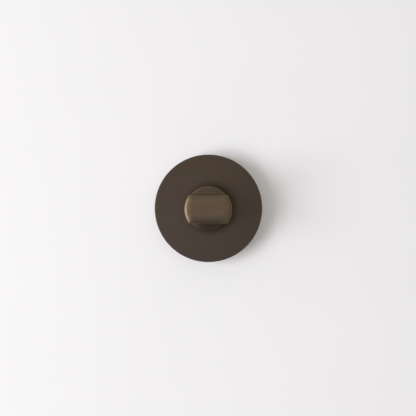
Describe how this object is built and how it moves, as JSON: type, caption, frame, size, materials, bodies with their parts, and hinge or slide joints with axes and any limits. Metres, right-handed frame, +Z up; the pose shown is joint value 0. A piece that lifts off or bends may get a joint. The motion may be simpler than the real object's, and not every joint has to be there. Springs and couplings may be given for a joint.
{
  "type": "thumb turn",
  "caption": "Round door rose with concealed fixings and a round thumb knob with two flats, which turns a square spindle a quarter turn to lock and unlock a door.",
  "frame": {"origin": "centre of the rose's back, in the plane of the door's face, on the knob's axis", "axes": "+Y goes into the door along the knob's axis and the front faces -Y; +Z is up and +X is to the right of someone who faces the door"},
  "size_m": [0.052, 0.0785, 0.052],
  "materials": {
    "rose_bronze": "dark bronze patina, fine satin, on solid brass",
    "knob_bronze": "antique bronze, brushed along the grip and turned round its ends",
    "raw_brass": "turned, unfinished",
    "white_acetal": "moulded, matte",
    "bright_steel": "pressed and ground",
    "zinc_steel": "bright zinc plate",
    "spring_steel": "phosphated, dark"
  },
  "bodies": {
    "rose": {"rose_cover": "rose_bronze", "mounting_plate": "raw_brass", "bearing_bush": "white_acetal", "stop_pin": "bright_steel", "fixing_screws": "zinc_steel"},
    "turn": {"turn_knob": "knob_bronze", "thrust_washer": "white_acetal", "stop_cam": "bright_steel", "spring_washer": "spring_steel", "rear_washer": "bright_steel", "retaining_ring": "spring_steel", "spindle": "zinc_steel", "spindle_grub_screw": "spring_steel"}
  },
  "joints": [
    {"name": "knob_turn", "type": "hinge", "parent": "rose", "child": "turn", "pos_m": [0, 0, 0], "axis": [0, -1, 0], "range_deg": [0, 90]}
  ]
}
